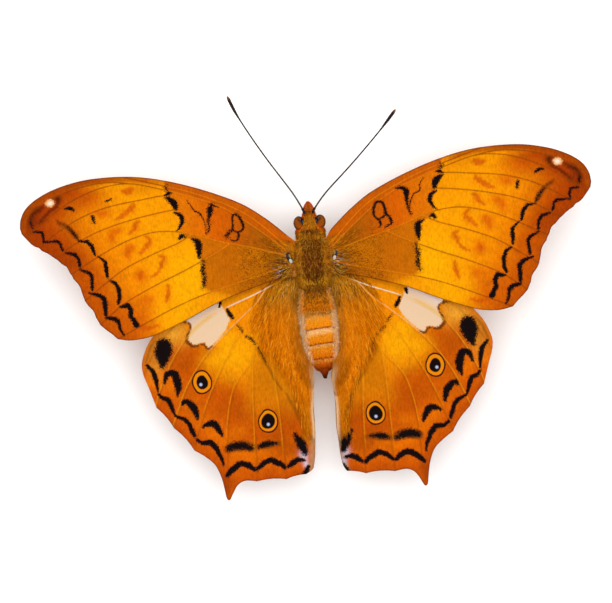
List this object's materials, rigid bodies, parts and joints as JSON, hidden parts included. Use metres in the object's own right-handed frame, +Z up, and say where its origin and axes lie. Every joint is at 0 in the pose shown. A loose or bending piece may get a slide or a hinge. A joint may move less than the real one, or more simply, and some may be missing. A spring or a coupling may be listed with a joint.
{
  "type": "butterfly",
  "caption": "Life-size male cruiser butterfly basking with its wings spread flat, standing on slender legs with its feelers raised.",
  "frame": {"origin": "under the middle of the butterfly's bounding box, on the floor that its feet stand on", "axes": "+X to the butterfly's own left along the wingspan, -Y the way the head points, +Z up"},
  "size_m": [0.0906, 0.064, 0.0144],
  "materials": {
    "wing_scales": "matt orange scales with fine black markings",
    "thorax_fur": "golden-brown hair",
    "abdomen_scales": "orange-brown scales with cream bands",
    "eye_facets": "glassy brown compound eye",
    "leg_cuticle": "tan scaled cuticle",
    "antenna_cuticle": "dark brown cuticle"
  },
  "bodies": {
    "root": {"thorax": "thorax_fur", "abdomen": "abdomen_scales", "head": "thorax_fur", "eye_left": "eye_facets", "eye_right": "eye_facets", "palp_left": "thorax_fur", "palp_right": "thorax_fur", "proboscis": "antenna_cuticle", "antenna_left": "antenna_cuticle", "antenna_right": "antenna_cuticle", "foreleg_left": "leg_cuticle", "foreleg_right": "leg_cuticle", "midleg_left": "leg_cuticle", "midleg_right": "leg_cuticle", "hindleg_left": "leg_cuticle", "hindleg_right": "leg_cuticle", "forewing_left": "wing_scales", "forewing_right": "wing_scales", "hindwing_left": "wing_scales", "hindwing_right": "wing_scales"}
  },
  "joints": []
}
